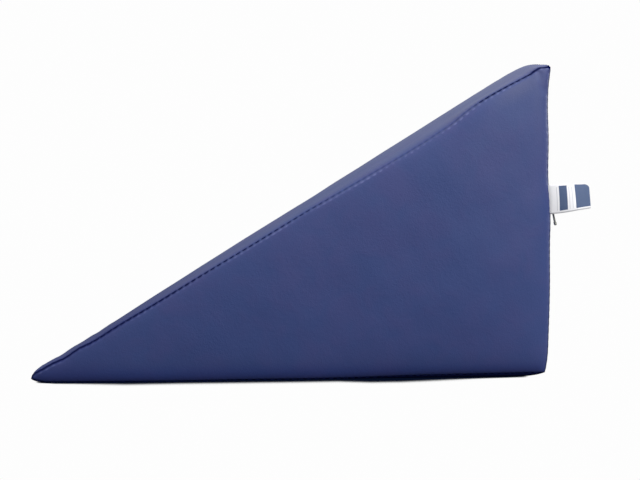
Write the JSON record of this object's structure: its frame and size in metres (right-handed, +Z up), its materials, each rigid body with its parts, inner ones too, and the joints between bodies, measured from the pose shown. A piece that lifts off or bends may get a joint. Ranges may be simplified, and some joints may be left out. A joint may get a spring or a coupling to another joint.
{
  "type": "positioning wedge cushion",
  "caption": "Right-angled foam wedge cushion in a sewn smooth vinyl cover, with a folded side label and a zip across the tall back.",
  "frame": {"origin": "middle of the flat base, on the surface it rests on", "axes": "+X from the thin edge to the tall back, +Z up, -Y towards the side that the label hangs from"},
  "size_m": [0.5414, 0.3184, 0.3185],
  "materials": {
    "cover": "smooth navy vinyl with a fine grain and a soft sheen",
    "label": "white satin ribbon with plain navy blocks",
    "tape": "woven navy zip tape",
    "coil": "navy nylon zip coil",
    "slider_metal": "dull grey die-cast zinc"
  },
  "bodies": {
    "root": {"cushion": "cover", "care_label": "label", "zip_tape": "tape", "zip_chain": "coil", "zip_slider": "slider_metal", "zip_pull": "slider_metal"}
  },
  "joints": []
}
